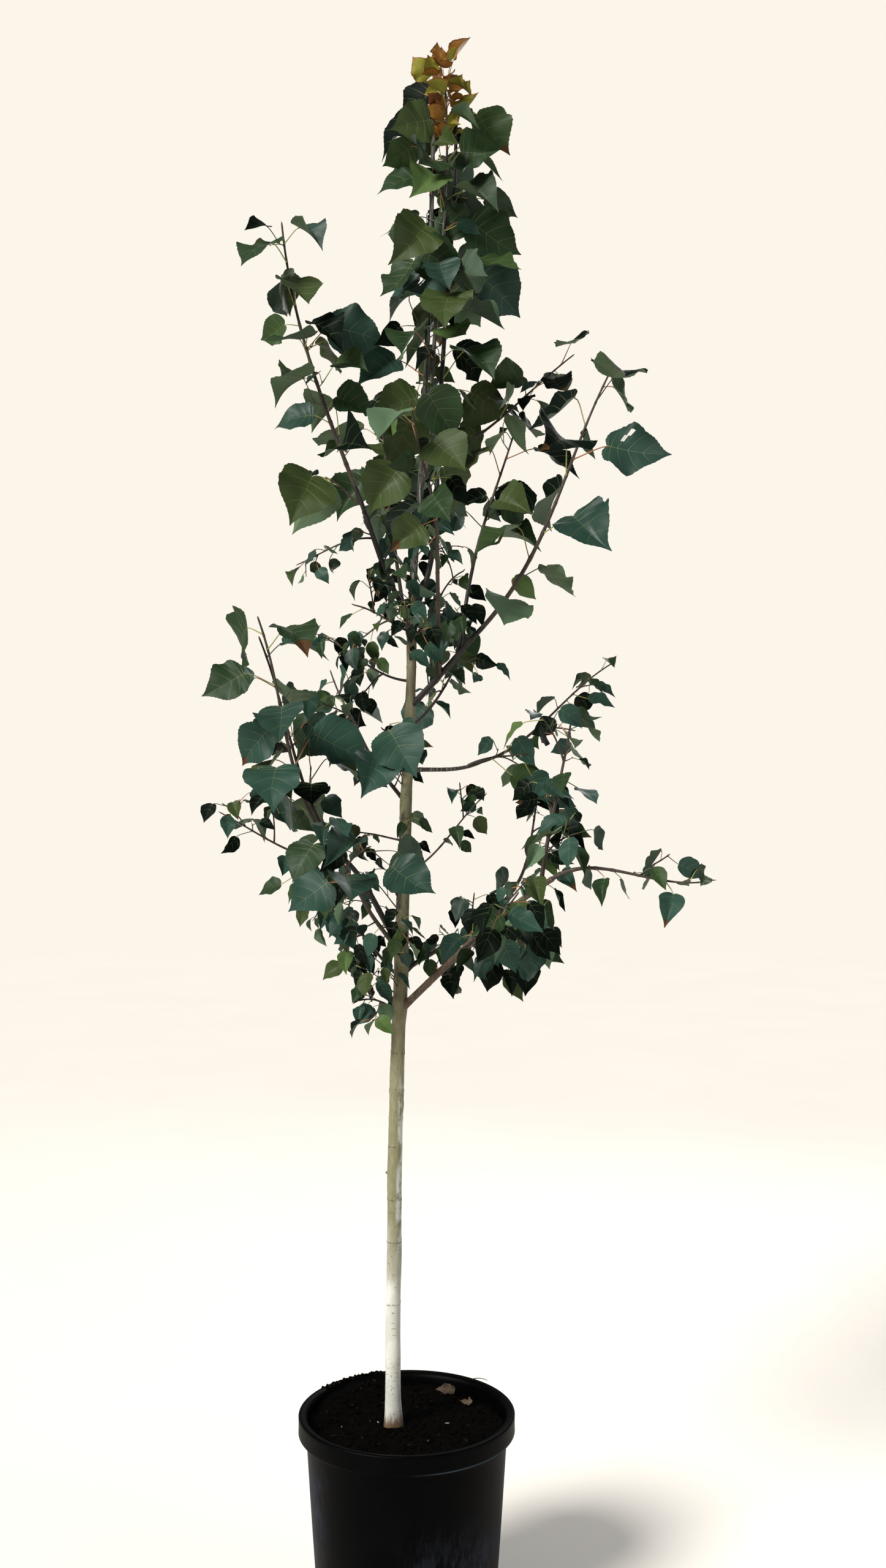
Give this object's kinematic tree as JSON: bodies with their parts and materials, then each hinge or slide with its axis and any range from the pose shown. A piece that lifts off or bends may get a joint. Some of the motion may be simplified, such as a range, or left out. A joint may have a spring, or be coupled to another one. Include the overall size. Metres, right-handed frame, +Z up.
{
  "type": "potted tree",
  "caption": "Young quaking aspen in a black nursery pot: pale straight trunk, forked leaders, and an open crown of heart-shaped leaves on long stalks.",
  "frame": {"origin": "centre of the pot's flat underside", "axes": "+Z up, from the pot to the tree's top; +Y away from the viewer, who sees the tree's widest side; +X to the viewer's right"},
  "size_m": [0.9601, 0.8188, 3.0776],
  "materials": {
    "pot_black": "dull black moulded, scuffed",
    "soil_dark": "moist bark-based potting mix",
    "bark_pale": "smooth creamy bark with dark lenticels",
    "bark_brown": "smooth young bark, brown to olive",
    "leaf_green": "satin green leaves on thin stalks"
  },
  "bodies": {
    "root": {"pot": "pot_black", "soil": "soil_dark", "trunk": "bark_pale", "leader_left": "bark_brown", "leader_middle": "bark_brown", "leader_right": "bark_brown", "bough_upper_left": "bark_brown", "bough_upper_right": "bark_brown", "bough_right_inner": "bark_brown", "bough_upper_front": "bark_brown", "bough_upper_back": "bark_brown", "bough_middle_right": "bark_brown", "bough_middle_back": "bark_brown", "bough_lower_left": "bark_brown", "bough_lower_right": "bark_brown", "bough_lower_back": "bark_brown", "bough_lower_front": "bark_brown", "foliage_top_left": "leaf_green", "foliage_top_middle": "leaf_green", "foliage_top_right": "leaf_green", "foliage_upper_left": "leaf_green", "foliage_upper_left_twig": "leaf_green", "foliage_right_outer": "leaf_green", "foliage_right_inner": "leaf_green", "foliage_right_diagonal": "leaf_green", "foliage_upper_front": "leaf_green", "foliage_upper_back": "leaf_green", "foliage_fork_left": "leaf_green", "foliage_fork_right": "leaf_green", "foliage_fork_front": "leaf_green", "foliage_middle_left": "leaf_green", "foliage_middle_back": "leaf_green", "foliage_right_back": "leaf_green", "foliage_middle_right": "leaf_green", "foliage_trunk_left": "leaf_green", "foliage_trunk_right": "leaf_green", "foliage_left_upright": "leaf_green", "foliage_left_second": "leaf_green", "foliage_left_level": "leaf_green", "foliage_left_inner": "leaf_green", "foliage_left_back": "leaf_green", "foliage_left_front": "leaf_green", "foliage_lowest_left": "leaf_green", "foliage_right_level": "leaf_green", "foliage_right_upright": "leaf_green", "foliage_right_hanging": "leaf_green", "foliage_right_front": "leaf_green", "foliage_lower_back": "leaf_green", "foliage_lower_inner": "leaf_green", "foliage_upper_left_low": "leaf_green", "foliage_trunk_high": "leaf_green", "foliage_middle_inner": "leaf_green"}
  },
  "joints": []
}
